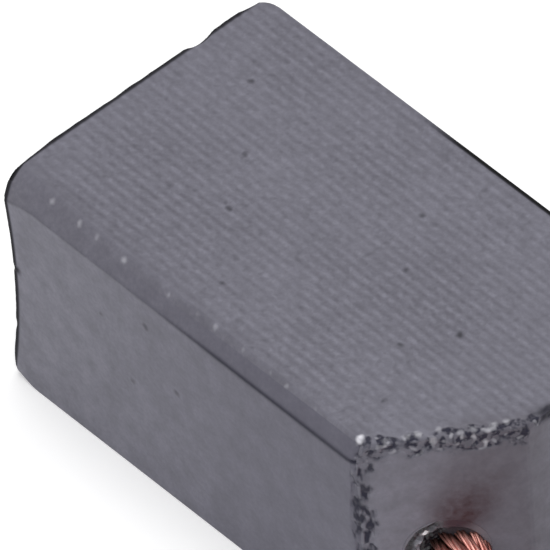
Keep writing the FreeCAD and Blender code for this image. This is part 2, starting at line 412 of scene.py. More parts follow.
def crumbleRims(clean, distances, outside):
    # crumbs have dropped out in clusters along the edges round the cut: the edge is eaten back there,
    # and masks tell the material where the broken surface and the upright edge's splinters are, and where
    # the shade of a crevice is painted along the square end's top edge
    style = rimStyle
    along = (clean - cutMiddle) @ cutAlong
    onTop = distances["top"] < distances["side"] + 0.5
    clusters = np.maximum.reduce([np.exp(-((along - place) / width) ** 2) for place, width in rimClusters])
    quiet = style["betweenClusters"]
    busy = np.where(onTop, quiet + (1 - quiet) * clusters, style["upright"])
    edge = np.zeros(len(clean))
    push = np.zeros_like(clean)
    for first, second, secondShare, firstShare in rimEdges:
        reached = distances[first] * firstShare + distances[second] * secondShare
        mask = (1 - smoothStep(reached, 0.08, style["reach"])) * outside
        direction = faceNormals[first] + faceNormals[second]
        push = np.where((mask > edge)[:, None], -direction / np.linalg.norm(direction), push)
        edge = np.maximum(edge, mask)
    ragged = edge * (0.3 + 0.7 * busy) + 0.4 * softNoise(clean, 0.4, 43) + 0.3 * softNoise(clean, 0.2, 44)
    chipped = smoothStep(ragged, 0.22, 0.6) * smoothStep(edge, 0.02, 0.35)
    depth = edge * (0.2 + chipped * (0.4 + 0.6 * softNoise(clean, 0.22, 47)))
    upright = smoothStep(distances["top"], 0.5, 0.7) * (edge > 0)
    # painted shade of a crevice along the square end's top edge
    creviceShadeAt, creviceShadeWidth = style["creviceShade"]
    creviceShade = np.exp(-((distances["end"] + distances["top"] - creviceShadeAt) / creviceShadeWidth) ** 2)
    creviceShade = creviceShade * smoothStep(softNoise(clean, 0.35, 49), -0.5, 0.1) * outside
    masks = {"crumbled": chipped, "upright": upright, "creviceShade": creviceShade * (clean[:, 1] > style["creviceShadeStart"])}
    return push * (style["depth"] * depth)[:, None], edge, masks


def shapeBlock(base):
    # every point of the clean block, then moved by wear, rounding, crumbling and dents
    clean = blockPoint(*base.T)
    distances = planeDistances(clean)
    outside = base[:, 3] < 0.03
    coarse = softNoise(clean, 0.8, 3)
    fine = layeredNoise(clean, 0.16, 5)

    topLeg, sideLeg = bandLegs(base[:, 0])
    bulge = blockStyle["bandBulge"] + 0.06 * np.maximum(1 - base[:, 0] / blockStyle["contactFlare"], 0)
    p = clean + wearBand(distances, topLeg + 0.02 * coarse, sideLeg + 0.006 * coarse, bulge)

    sharp = np.maximum(0.03 + 0.01 * fine, 0.01)
    crumbly = np.maximum(0.07 + 0.04 * fine, 0.02)
    radii = {
        ("top", "cut"): crumbly,
        ("top", "end"): crumbly,
        ("side", "cut"): crumbly,
        ("cut", "end"): sharp * 1.2,
        ("top", "back"): sharp * 0.5,
        ("end", "back"): sharp * 2,
        ("bottom", "back"): sharp,
        ("bottom", "end"): sharp,
        ("bottom", "cut"): sharp,
        ("bottom", "side"): sharp * 0.4 + 0.3 * (1 - smoothStep(distances["contact"], 0, 0.9)),
        ("contact", "top"): 0.08 + 0.02 * fine + 0.02 * coarse + 0.14 * smoothStep(-clean[:, 1], 2.2, 3.4),
        ("contact", "side"): 0.05 + 0.02 * fine + 0.2 * (1 - smoothStep(clean[:, 2], 0, 0.8)),
        ("contact", "back"): 0.62 + 0.02 * fine,
        ("contact", "bottom"): 0.4 + 0.04 * coarse,
    }
    for (first, second), radius in radii.items():
        p += roundEdge(distances, first, second, radius)

    push, rim, rimMasks = crumbleRims(clean, distances, outside)
    p += push

    topEdge = contactHollow(blockHeight) - halfLength
    for place, radius, depth in chips:
        lift = (radius - depth) / math.sqrt(2)
        p += ballDent(p, np.array([topEdge - lift, place, blockHeight + lift]), radius)
    for height, radius, depth in nicks:
        step = (radius - depth) / math.sqrt(2)
        middle = np.array([contactHollow(height) - halfLength - step, -halfWidth - step, height])
        p += ballDent(p, middle, radius)

    # painted shade inside the bore, less of it towards the square end
    inBore = smoothStep(base[:, 3], 0.02, 0.08)
    shaded = 1 - 0.8 * smoothStep((clean - holeMouth) @ cutAlong, 0.2, 0.7)
    attributes = {
        "bore": inBore * shaded,
        **rimMasks,
        **smearMasks(clean),
        **wearMasks(clean, distances, outside, topLeg, sideLeg, rim),
    }
    return p, attributes


wearStyle = {                  # where each kind of wear starts and where it is full, in mm
    "bandPaler": (-1.0, 4.0),      # along the block, as are the next five
    "creaseShadeLine": (-2.6, 0.8),
    "backShadeLine": (-1.9, -0.1),
    "sideShade": (-6.5, 4.5),
    "linesFadeAtWire": (3.5, 5.5),
    "linesFadeAtContact": (2, 5),  # counted towards the contact face
    "contactEdge": (0.1, 0.18),    # out from an edge, as are the next two
    "uprightEdge": (0.06, 0.2),
    "backEdge": (0.08, 0.13),
    "creaseShadeWidth": 0.075,            # half the width of the painted shade line in the crease under the band
    "nickPitShade": 0.11,               # half the height of the painted black shade in the first nick's pit
}


def wearMasks(clean, distances, outside, topLeg, sideLeg, rim):
    # where the band is rubbed dark, more so towards its lower edge, under which a dark line of shade is
    # painted; where the grinding lines show; painted shade on the side towards the wire end; and painted
    # black shade along outer edges and in a nick's pit
    style = wearStyle
    x = clean[:, 0]
    onBand = 1 - distances["side"] / topLeg - distances["top"] / sideLeg
    acrossBand = distances["side"] / topLeg - distances["top"] / sideLeg
    ragged = 0.3 * softNoise(clean, 0.5, 71) + 0.35 * softNoise(clean, 0.17, 73)
    onSide = distances["side"] < 0.001
    below = smoothStep(distances["top"] / sideLeg + 0.15 * ragged, 0.96, 1.14)
    band = (1 - smoothStep(acrossBand + ragged, 0, 2.3)) * (1 - below)
    # painted shade: a dark line along the crease under the worn band
    fromArris = np.where(onSide, distances["top"] - sideLeg, 1)
    creaseShadeShare = 0.15 + 0.8 * smoothStep(x, *style["creaseShadeLine"])
    line = np.exp(-(fromArris / style["creaseShadeWidth"]) ** 2) * creaseShadeShare
    fromBand = np.maximum(-onBand, 0) * 0.35
    fromRim = distances["contact"] + np.minimum(np.minimum(distances["top"], distances["side"]), fromBand)
    fadedAtWire = 0.25 * smoothStep(x, *style["linesFadeAtWire"])
    fadedAtContact = 0.12 * smoothStep(-x, *style["linesFadeAtContact"])
    sideRim = distances["contact"] + distances["side"]
    fromBack = distances["top"] + distances["back"]
    nickPitShade = np.exp(-((clean[:, 2] - nicks[0][0]) / style["nickPitShade"]) ** 2)
    # painted shade: black lines along the contact face's rim, the upright edge and the top back edge, and
    # black in the first nick's pit
    blackEdgeShade = np.maximum.reduce([
        0.9 * (1 - smoothStep(fromRim, *style["contactEdge"])),
        0.7 * (1 - smoothStep(sideRim, *style["uprightEdge"])),
        nickPitShade * (1 - smoothStep(sideRim, 0.12, 0.34)),
        smoothStep(x, *style["backShadeLine"]) * (1 - smoothStep(fromBack, *style["backEdge"])),
    ])
    onTop = smoothStep(-onBand, -0.1, 0.3) * (distances["top"] < 0.01)
    return {
        "worn": band * outside * (1 - 0.3 * smoothStep(x, *style["bandPaler"])),
        "creaseShade": line * outside,
        "ground": onTop * (1 - 0.7 * rim) * (1 - fadedAtWire - fadedAtContact),
        # painted shade: the side darker towards the wire end
        "sideShade": onSide * smoothStep(x, *style["sideShade"]) * outside,
        "blackEdgeShade": blackEdgeShade * outside,
    }


def smearMasks(clean):
    # copper-brown rub mark that rises from the rope across the cut towards the square end, and the
    # painted shade that darkens that half of the cut, less of it low down beside the rope
    offset = clean - holeMouth
    along, up = offset @ cutAlong, offset[..., 2]
    onCut = 1 - smoothStep(np.abs(offset @ cutOut), 0.05, 0.8)
    spine = 0.3 + 0.3 * (up - 0.95) + 0.12 * np.maximum(up - 2, 0) ** 2
    width = 0.8 + 0.16 * np.maximum(up - 1.4, 0) - 0.4 * np.maximum(1.4 - up, 0)
    across = np.exp(-(np.abs(along - spine) / np.maximum(width, 0.15)) ** 2.6)
    fadeUp = smoothStep(up, 0.3, 0.9) * (1.15 - 0.15 * smoothStep(up, 1.0, 1.5))
    fadeUp = fadeUp * np.exp(-np.maximum(up - 1.5, 0) / 0.85)
    besideRope = np.exp(-((along - 0.9) / 0.6) ** 2) * (1 - smoothStep(up, 0.2, 1.1))
    return {
        "smear": onCut * across * fadeUp,
        # painted shade over the cut's half towards the square end
        "cutShade": onCut * smoothStep(along, -0.9, 0.8) * (1 - 0.75 * besideRope),
    }


def makeCarbonBlock(material):
    # the clean block's sheets, hole and foot welded into one shell, which is then worn
    rows, levels, sheets = blockGrid()
    patchPoints, patchFaces, (lowRow, highRow, lowLevel, highLevel) = holePatch(rows[-1], levels[-1])
    footPoints, footFaces = bottomRings(sheets)
    grids = [*sheets, (patchPoints, patchFaces), (footPoints, footFaces)]
    base, numbers = weldPoints([points for points, _ in grids])
    faces = [number[quads] for number, (_, quads) in zip(numbers, grids)]
    cell = np.arange(len(faces[1]))
    row, level = np.divmod(cell, levels.shape[1] - 1)
    underPatch = (row >= lowRow) & (row < highRow) & (level >= lowLevel) & (level < highLevel)
    faces[1] = faces[1][~underPatch]
    holeEnd = numbers[5][-patchPoints.shape[1]:]
    foot = numbers[6][-footPoints.shape[1]:]
    p, attributes = shapeBlock(base)
    return buildMesh("carbonBlockBody", p, np.concatenate(faces), material, attributes, (holeEnd, foot))


# the block's top corner at the contact face, where the worn band meets the cut, and the cut's top edge
topCorner = np.array([-halfLength, -halfWidth, blockHeight])
bandEnd = topCorner + (blockLength - cutCorner["length"], 0, 0)
rimStart = cutMiddle + blockHeight * upward - 1.5 * cutAlong - 0.25 * cutOut
# pores painted as dark spots of shade and bright grains painted as glints: kind, how many, a corner and
# two edges of their area, and the least and the most of radius and strength
carbonSpots = (
    ("poreShade", 8, topCorner + (1, 1.2, 0), (11, 0, 0), (0, 6.2, 0), (0.07, 0.6), (0.08, 0.8)),
    ("poreShade", 4, topCorner + (2.5, 0, -3.6), (4, 0, 0), (0, 0, 3), (0.06, 0.4), (0.1, 0.8)),
    ("poreShade", 1, (4, 0, blockHeight), (0, 0, 0), (0, 0, 0), (0.11, 1), (0.11, 1)),
    ("grains", 11, topCorner + (0.6, 0.3, -0.15), (10.4, 0, 0), (0, 0.1, 0.08), (0.06, 0.1), (0.08, 0.25)),
    ("grains", 8, rimStart, 3.2 * cutAlong, (0.16, -0.12, -0.1), (0.07, 0.2), (0.08, 0.4)),
    ("grains", 1, bandEnd + (-0.1, 0.3, -0.05), (0, 0, 0), (0, 0, 0), (0.085, 1), (0.085, 1)),
)
goldenSteps = (0.618034, 0.754878, 0.56984)  # steps that fill a unit evenly and never repeat
spotShake = 0.1                # width in mm of the noise that gives the spots ragged outlines


def scatteredSpots(kind):
    # golden steps fill each area evenly and give every spot its own radius in mm and strength
    for label, count, corner, first, second, least, most in carbonSpots:
        if label == kind:
            for step in np.arange(1, count + 1)[:, None] * goldenSteps % 1:
                place = np.array(corner) + step[0] * np.array(first) + step[1] * np.array(second)
                yield place, *(np.array(least) + step[2] * np.subtract(most, least))


def makeCarbonMaterial():
    # pressed and baked carbon-graphite, ground to size: an even blue-grey with a fine dry grain, faint
    # grinding lines on the broad face, darker where it is rubbed; painted shade along edges, in a crease,
    # pits, pores, a crevice and the bore and down the side and cut, and painted highlights on crumbs and
    # grains
    material, add = newMaterial("pressedCarbonGraphite")
    place = add("TexCoord").outputs["Object"]
    size = add("Mapping", {"Scale": perMm}, {"Vector": place})
    ahead = add("Mapping", {"Location": (3.7, 1.3, 8.1)}, {"Vector": size})
    masks = {
        name: add("Attribute", attribute_name=name).outputs["Fac"]
        for name in (
            "worn", "creaseShade", "ground", "sideShade", "blackEdgeShade", "bore", "smear", "cutShade", "crumbled", "upright",
            "creviceShade",
        )
    }
    # noise scales are cells per mm: a grain of 0.11 mm
    grain = add("TexNoise", {"Scale": 9.0, "Detail": 4.0, "Roughness": 0.62}, {"Vector": size})
    mottle, blotches, specks, patches, crumbs, facets, shake = (
        add("TexNoise", {"Scale": scale, "Detail": detail}, {"Vector": source})
        for scale, detail, source in (
            (5.0, 2.0, size),      # mottling of 0.2 mm
            (2.1, 2.5, size),      # blotches of 0.5 mm
            (5.5, 0.0, ahead),     # dark specks of 0.2 mm
            (0.4, 1.0, size),      # patches of 2.5 mm in which the grinding lines are fainter
            (6.4, 1.0, size),      # pits and crumbs of 0.15 mm where a rim is broken
            (6.0, 0.0, ahead),     # crumbs there that are painted as highlights
            (6.0, 0.0, size),      # what makes the outlines of pores and bright grains ragged
        )
    )
    grainShare = add("MapRange", {1: 0.32, 2: 0.68}, {0: grain})
    colour = add(
        "Mix", {6: toLinear("7b7a86"), 7: toLinear("83828e")}, {0: grainShare}, data_type="RGBA"
    ).outputs[2]

    # grinding lines every 0.245 mm: the wave's own period is 0.314 mm at scale 1
    lines = add(
        "TexWave",
        {"Scale": 1.282, "Distortion": 0.9, "Detail": 0.5, "Detail Scale": 1.2, "Detail Roughness": 0.6},
        {"Vector": size}, bands_direction="Y",
    ).outputs["Fac"]
    # beads of 0.16 by 0.23 mm break the lines up
    stretched = add("Mapping", {"Scale": (6200, 4300, 4300)}, {"Vector": place})
    beads = add("TexNoise", {"Scale": 1.0, "Detail": 2.0}, {"Vector": stretched})
    beadShare = add("MapRange", {1: 0.36, 2: 0.66, 3: 0.05, 4: 1.0}, {0: beads})
    ridge = add("Math", None, {0: lines, 1: beadShare}, operation="MULTIPLY")
    ridgeShare = add("MapRange", {1: 0.0, 2: 0.75, 3: 0.34, 4: 0.0}, {0: ridge})
    trough = add("Math", {0: 1.0}, {1: lines}, operation="SUBTRACT")
    dashes = add("Math", None, {0: trough, 1: beadShare}, operation="MULTIPLY")
    scratch = add("Math", {1: 0.36}, {0: dashes, 2: ridgeShare}, operation="MULTIPLY_ADD")
    patchShare = add("MapRange", {1: 0.35, 2: 0.65, 3: 0.65, 4: 1.1}, {0: patches})
    groundShare = add("Math", None, {0: patchShare, 1: masks["ground"]}, operation="MULTIPLY")
    scratched = add("Math", None, {0: scratch, 1: groundShare}, operation="MULTIPLY")

    # where a rim is broken: pits and crumbs, or splinters of 0.14 by 0.31 mm down the upright edge; the
    # pits are painted dark as shade, and the light ones stand out as painted highlights
    tall = add("Mapping", {"Scale": (7000, 7000, 3200)}, {"Vector": place})
    splinters = add("TexNoise", {"Scale": 1.0, "Detail": 1.0}, {"Vector": tall})
    broken = add("Mix", None, {0: masks["upright"], 2: crumbs, 3: splinters}, data_type="FLOAT")
    pitted = add("MapRange", {1: 0.42, 2: 0.6, 3: 0.15, 4: 1.0}, {0: broken})
    pitShadeShare = add("Math", None, {0: pitted, 1: masks["crumbled"]}, operation="MULTIPLY")
    # painted highlights on light crumbs where a rim is broken
    facetGlintShare = add("MapRange", {1: 0.62, 2: 0.88, 3: 0.0, 4: 0.7}, {0: facets})
    onTopRim = add("MapRange", {3: 1.0, 4: 0.15}, {0: masks["upright"]})
    glintRim = add("Math", None, {0: masks["crumbled"], 1: onTopRim}, operation="MULTIPLY")
    crumbGlintShare = add("Math", None, {0: facetGlintShare, 1: glintRim}, operation="MULTIPLY")

    # each spot fades out from its middle, and the strongest one counts
    ragged = add(
        "VectorMath", {1: (spotShake * mm,) * 3}, {0: shake.outputs["Color"], 2: place},
        operation="MULTIPLY_ADD",
    )
    spots = {}
    for kind in ("poreShade", "grains"):
        for middle, radius, strength in scatteredSpots(kind):
            away = add(
                "VectorMath", {1: (middle + spotShake / 2) * mm}, {0: ragged}, operation="DISTANCE"
            ).outputs["Value"]
            share = add(
                "MapRange", {1: 1.6 * radius * mm, 2: 0.1 * radius * mm, 3: 0.0, 4: strength}, {0: away},
                interpolation_type="SMOOTHSTEP",
            )
            if kind in spots:
                share = add("Math", None, {0: spots[kind], 1: share}, operation="MAXIMUM")
            spots[kind] = share

    uneven = add("Mix", None, {0: masks["ground"], 2: blotches, 3: mottle}, data_type="FLOAT")
    mottleShare = add("MapRange", {1: 0.3, 2: 0.7, 3: 0.47, 4: 0.0}, {0: uneven})
    wornGrain = add("MapRange", {1: 0.2, 2: 0.8, 3: 0.75, 4: 0.45}, {0: grain})
    wornShare = add("Math", None, {0: wornGrain, 1: masks["worn"]}, operation="MULTIPLY")
    sideShadeShare = add("MapRange", {3: 0.0, 4: 0.5}, {0: masks["sideShade"]})
    cutShadeShare = add("MapRange", {3: 0.0, 4: 0.34}, {0: masks["cutShade"]})
    smearGrain = add("MapRange", {1: 0.3, 2: 0.7, 3: 0.52, 4: 0.92}, {0: mottle})
    smeared = add("Math", None, {0: smearGrain, 1: masks["smear"]}, operation="MULTIPLY")
    speckShare = add("MapRange", {1: 0.66, 2: 0.9, 3: 0.0, 4: 0.35}, {0: specks})
    groundSpecks = add("Math", None, {0: speckShare, 1: masks["ground"]}, operation="MULTIPLY")
    for share, code in (
        (mottleShare, "5b5a63"),
        (scratched, "55535d"),
        (wornShare, "55535d"),
        # painted shade: the side darker towards the wire end
        (sideShadeShare, "535160"),
        # painted shade: the cut darker towards the square end
        (cutShadeShare, "464046"),
        (smeared, "3a242a"),
        # painted shade: dark line in the crease under the worn band
        (masks["creaseShade"], "0f0e24"),
        (groundSpecks, "3a3941"),
        # painted shade: dark pits where a rim is broken
        (pitShadeShare, "131227"),
        # painted highlights: light crumbs on a broken rim
        (crumbGlintShare, "c9c8d0"),
        # painted shade: a crevice along the square end's top edge
        (masks["creviceShade"], "0b0a1c"),
        # painted shade: pores as dark spots
        (spots["poreShade"], "2f2e36"),
        # painted highlights: bright grains as glints
        (spots["grains"], "f2f1f9"),
        # painted shade: inside the hole's bore
        (masks["bore"], "232129"),
        # painted shade: black lines along outer edges and in a nick's pit
        (masks["blackEdgeShade"], "040305"),
    ):
        colour = add("Mix", {7: toLinear(code)}, {0: share, 6: colour}, data_type="RGBA").outputs[2]

    # bump: the dry grain, then the grinding lines, then the pits
    dryness = add("MapRange", {3: 0.1, 4: 0.3}, {0: masks["ground"]})
    relief = add("Bump", {"Distance": 0.008 * mm}, {"Strength": dryness, "Height": grain})
    height = add("Math", None, {0: ridge, 1: groundShare}, operation="MULTIPLY")
    relief = add("Bump", {"Strength": 1.0, "Distance": 0.008 * mm}, {"Height": height, "Normal": relief})
    relief = add(
        "Bump", {"Strength": 0.7, "Distance": 0.03 * mm}, {"Height": pitShadeShare, "Normal": relief},
        invert=True,
    )
    gloss = add("MapRange", {1: 0.3, 2: 0.7, 3: 0.62, 4: 0.5}, {0: grain})
    # the painted black shade is also made fully rough, so no sheen lifts it
    dull = add("Math", None, {0: gloss, 1: masks["blackEdgeShade"]}, operation="ADD", use_clamp=True)
    shader = add(
        "BsdfPrincipled", {"Specular IOR Level": 0.3},
        {"Base Color": colour, "Roughness": dull, "Normal": relief},
    )
    add("OutputMaterial", None, {"Surface": shader})
    return material


def makePowderMaterial():
    # graphite and copper powder tamped in hard: dark glittering grains with one painted glint on the open
    # side, smeared over as plain as the block on the other, and painted black shade in the gap the rope has
    # worked and along the hole's wall
    material, add = newMaterial("tampedGraphitePowder")
    place = add("TexCoord").outputs["Object"]
    size = add("Mapping", {"Scale": perMm}, {"Vector": place})
    grains = add("TexVoronoi", {"Scale": 7.0}, {"Vector": size})      # grains of 0.14 mm
    share = add("MapRange", {1: 0.2, 2: 1.0}, {0: grains.outputs["Color"]})
    colour = add(
        "Mix", {6: toLinear("605f67"), 7: toLinear("a3a2ac")}, {0: share}, data_type="RGBA"
    ).outputs[2]
    for name, code in (
        ("flush", "7a7780"),
        ("smear", "372a34"),
        ("edge", "72717b"),
        # painted shade: black in the rope's gap and along the hole's wall
        ("groove", "100e15"),
        ("glint", "f6f6fa"),
    ):
        mask = add("Attribute", attribute_name=name).outputs["Fac"]
        colour = add("Mix", {7: toLinear(code)}, {0: mask, 6: colour}, data_type="RGBA").outputs[2]
    relief = add("Bump", {"Strength": 0.25, "Distance": 0.02 * mm}, {"Height": grains})
    shader = add(
        "BsdfPrincipled", {"Roughness": 0.45, "Specular IOR Level": 0.4},
        {"Base Color": colour, "Normal": relief},
    )
    add("OutputMaterial", None, {"Surface": shader})
    return material


def makeCopperMaterial():
    # bare drawn copper wire, laid soft: pink and bright on the crowns, with painted shade dark red-brown
    # between the wires and strands and on the rope's far side, and blackened where it leaves the hole, by
    # graphite soot and by painted shade inside the hole's mouth
    material, add = newMaterial("bareStrandedCopper")
    place = add("TexCoord").outputs["Object"]
    size = add("Mapping", {"Scale": perMm}, {"Vector": place})
    # tarnish in clouds of 0.6 mm
    tarnish = add("TexNoise", {"Scale": 1.6, "Detail": 4.0, "Roughness": 0.6}, {"Vector": size})
    tarnishShare = add("MapRange", {1: 0.35, 2: 0.7}, {0: tarnish})
    crown, sootAndShade = (
        add("Attribute", attribute_name=name).outputs["Fac"] for name in ("crown", "sootAndShade")
    )
    metal = add(
        "Mix", {6: toLinear("e6aba0"), 7: toLinear("bb7a70")}, {0: tarnishShare}, data_type="RGBA"
    ).outputs[2]
    # painted shade: dark red-brown where crown is low, between the wires and strands
    crowned = add("Mix", {6: toLinear("4d120d")}, {0: crown, 7: metal}, data_type="RGBA").outputs[2]
    # soot and painted shade where the rope is inside or just out of the hole
    colour = add("Mix", {7: toLinear("3c2c2a")}, {0: sootAndShade, 6: crowned}, data_type="RGBA").outputs[2]
    gloss = add("MapRange", {1: 0.3, 2: 0.7, 3: 0.32, 4: 0.48}, {0: tarnish})
    shader = add("BsdfPrincipled", {"Metallic": 1.0}, {"Base Color": colour, "Roughness": gloss})
    add("OutputMaterial", None, {"Surface": shader})
    return material


def makeTinMaterial():
    # stamped brass sheet with a dull electroplated tin coat: soft grey shine with handling smudges
    material, add = newMaterial("tinPlatedBrassSheet")
    place = add("TexCoord").outputs["Object"]
    size = add("Mapping", {"Scale": perMm}, {"Vector": place})
    # smudges of 1.4 mm and a plated grain of 0.07 mm
    smudge = add("TexNoise", {"Scale": 0.7, "Detail": 5.0, "Roughness": 0.65}, {"Vector": size})
    spangle = add("TexNoise", {"Scale": 14.0, "Detail": 3.0}, {"Vector": size})
    colour = add(
        "Mix", {6: toLinear("8f8d88"), 7: toLinear("bab7b1")}, {0: smudge}, data_type="RGBA"
    ).outputs[2]
    gloss = add("MapRange", {1: 0.3, 2: 0.7, 3: 0.3, 4: 0.5}, {0: smudge})
    relief = add("Bump", {"Strength": 0.5, "Distance": 0.006 * mm}, {"Height": spangle})
    shader = add(
        "BsdfPrincipled", {"Metallic": 1.0}, {"Base Color": colour, "Roughness": gloss, "Normal": relief}
    )
    add("OutputMaterial", None, {"Surface": shader})
    return material


ropeStyle = {
    "diameter": 1.4,
    "offset": 0.12,            # its line lies this far off the hole's middle, along the cut
    "outside": 0.5,            # the route's first point outside the exit
    "strands": 12,             # strands laid round the core
    "strandDiameter": 0.286,
    "wires": 6,                # outer wires of each strand
    "wireDiameter": 0.096,
    "ropePitch": 8.6,          # length in which a strand goes once round
    "strandPitch": 3.4,
    "turn": 0.35,              # where the first strand starts, in strands
    "wireSides": 5,
    "strandSides": 8,
    "coreSides": 14,
    "spacing": 0.165,
}
ropeSteps = (                  # the route's points after the exit: steps along the surface, and heights
    (4.75, -1.75, 1.80),
    (9.60, -2.00, 0.72),
    (14.70, -0.20, 0.72),
    (19.10, 3.40, 1.20),
    (21.80, 8.30, 1.20),
)


def ropeRoute():
    # straight out of the hole's foot and its mouth, then step by step along the surface to the terminal
    exitPoint = holeMouth + cutAlong * ropeStyle["offset"]
    points = [exitPoint - cutOut * shuntHole["depth"], exitPoint + cutOut * ropeStyle["outside"]]
    points += [np.array([exitPoint[0] + x, exitPoint[1] + y, z]) for x, y, z in ropeSteps]
    return exitPoint, np.array(points)


def splineLine(route, spacing):
    # points at even spacing along the smooth curve that the route's points control
    curve = bpy.data.curves.new("ropeLine", "CURVE")
    curve.dimensions = "3D"
    spline = curve.splines.new("NURBS")
    spline.points.add(len(route) - 1)
    spline.points.foreach_set("co", np.column_stack([route, np.ones(len(route))]).ravel())
    spline.order_u = 3
    spline.use_endpoint_u = True
    spline.resolution_u = 40
    holder = bpy.data.objects.new("ropeLine", curve)
    mesh = bpy.data.meshes.new_from_object(holder)
    line = np.empty(len(mesh.vertices) * 3)
    mesh.vertices.foreach_get("co", line)
    line = line.reshape(-1, 3)
    bpy.data.meshes.remove(mesh)
    bpy.data.objects.remove(holder)
    bpy.data.curves.remove(curve)
    gaps = np.linalg.norm(np.diff(line, axis=0), axis=1)
    reached = np.concatenate([[0], np.cumsum(gaps)])
    steps = np.linspace(0, reached[-1], int(reached[-1] / spacing) + 1)
    return np.stack([np.interp(steps, reached, line[:, k]) for k in range(3)], axis=-1), steps


def lineFrames(line):
    # two directions square to the line at each point: one level, one as upright as the line allows
    ahead = np.gradient(line, axis=0)
    ahead /= np.linalg.norm(ahead, axis=1)[:, None]
    level = np.cross(upward, ahead)
    level /= np.linalg.norm(level, axis=1)[:, None]
    return level, np.cross(ahead, level)


def tubes(lines, level, up, radius, sides):
    # round tubes along several lines: a circle square to the rope's line at every station
    side = np.arange(sides) * 2 * math.pi / sides
    turn = side[None, :, None]
    ring = radius * (np.cos(turn) * level[:, None] + np.sin(turn) * up[:, None])
    points = lines[:, :, None] + ring[None]
    count, stations = points.shape[:2]
    tube = gridFaces(stations, sides, closedColumns=True)[:, ::-1]
    starts = np.arange(count) * stations * sides
    faces = (starts[:, None, None] + tube[None]).reshape(-1, 4)
    firstRing = starts[:, None] + np.arange(sides)
    caps = [*firstRing[:, ::-1], *(firstRing + (stations - 1) * sides)]
    return points.reshape(-1, 3), faces, caps


def makeRope(material):
    # wires laid round strands laid round the rope's line: a turning offset on a turning offset
    style = ropeStyle
    exitPoint, route = ropeRoute()
    line, reached = splineLine(route, style["spacing"])
    level, up = lineFrames(line)
    strandRadius = style["strandDiameter"] / 2
    wireRadius = style["wireDiameter"] / 2
    layRadius = style["diameter"] / 2 - strandRadius

    def turned(angle, radius):
        # an offset square to the rope's line, turned by an angle at each station
        return radius * (np.cos(angle)[..., None] * level + np.sin(angle)[..., None] * up)

    strandStart = (np.arange(style["strands"]) + style["turn"]) * 2 * math.pi / style["strands"]
    strandAngle = strandStart[:, None] - 2 * math.pi * reached / style["ropePitch"]
    strandLines = line + turned(strandAngle, layRadius)
    wireStart = np.arange(style["wires"]) * 2 * math.pi / style["wires"]
    wireAngle = wireStart[:, None] + 2 * math.pi * reached / style["strandPitch"]
    wireOffset = turned(wireAngle, strandRadius - wireRadius)
    wireLines = (strandLines[:, None] + wireOffset[None]).reshape(-1, *line.shape)
    parts = [
        tubes(wireLines, level, up, wireRadius * 1.1, style["wireSides"]),
        tubes(strandLines, level, up, strandRadius - 0.9 * wireRadius, style["strandSides"]),
        tubes(line[None], level, up, layRadius * 0.98, style["coreSides"]),
    ]
    starts = np.cumsum([0] + [len(points) for points, _, _ in parts])
    points = np.concatenate([part[0] for part in parts])
    faces = np.concatenate([part[1] + start for part, start in zip(parts, starts)])
    caps = [cap + start for part, start in zip(parts, starts) for cap in part[2]]
    outFromHole = (points - exitPoint) @ cutOut
    station = np.concatenate([
        np.tile(np.repeat(np.arange(len(line)), sides), count)
        for sides, count in (
            (style["wireSides"], len(wireLines)),
            (style["strandSides"], len(strandLines)),
            (style["coreSides"], 1),
        )
    ])
    fromLine = np.linalg.norm(points - line[station], axis=1)
    # crown is 1 on the rope's outer surface and 0 deep between wires and strands, where shade is painted
    crown = smoothStep(fromLine, layRadius - 0.05, layRadius + 0.08)
    leftOfLine = (points - line[station]) @ -cutAlong / style["diameter"]
    # soot blackens the rope inside the hole and just out of it, with painted shade there too
    sootShadeEnd = 0.02 + 0.16 * np.maximum(leftOfLine + 0.1, 0) + 0.06 * softNoise(points, 0.2, 81)
    sootAndShade = 1 - smoothStep(outFromHole - sootShadeEnd, -0.08, 0.14)
    sootAndShade *= 1 - 0.35 * smoothStep(-leftOfLine, 0, 0.3)
    # painted shade: the crowns dull towards the rope's far side
    crown *= 1 - 0.65 * smoothStep(-leftOfLine, 0.31, 0.4)
    crown = np.where(station == len(line) - 1, 0.85, crown)
    attributes = {"crown": crown, "sootAndShade": 0.82 * sootAndShade}
    return buildMesh("copperRope", points, faces, material, attributes, caps), line, exitPoint


powderStyle = {
    "recess": 0.09,            # the powder lies this deep on the open side, and flush on the other
    "grain": 0.05,
    "bedding": 0.012,          # its edge is pressed this far into the wall, so no gap shows
    "rings": 34,
    "around": 200,
    "groove": 0.05,            # gap that the rope has worked open, painted black as shade
    "glint": (-0.45, 0.53),    # one painted glint on a flake: place along the cut and above the hole's middle
}


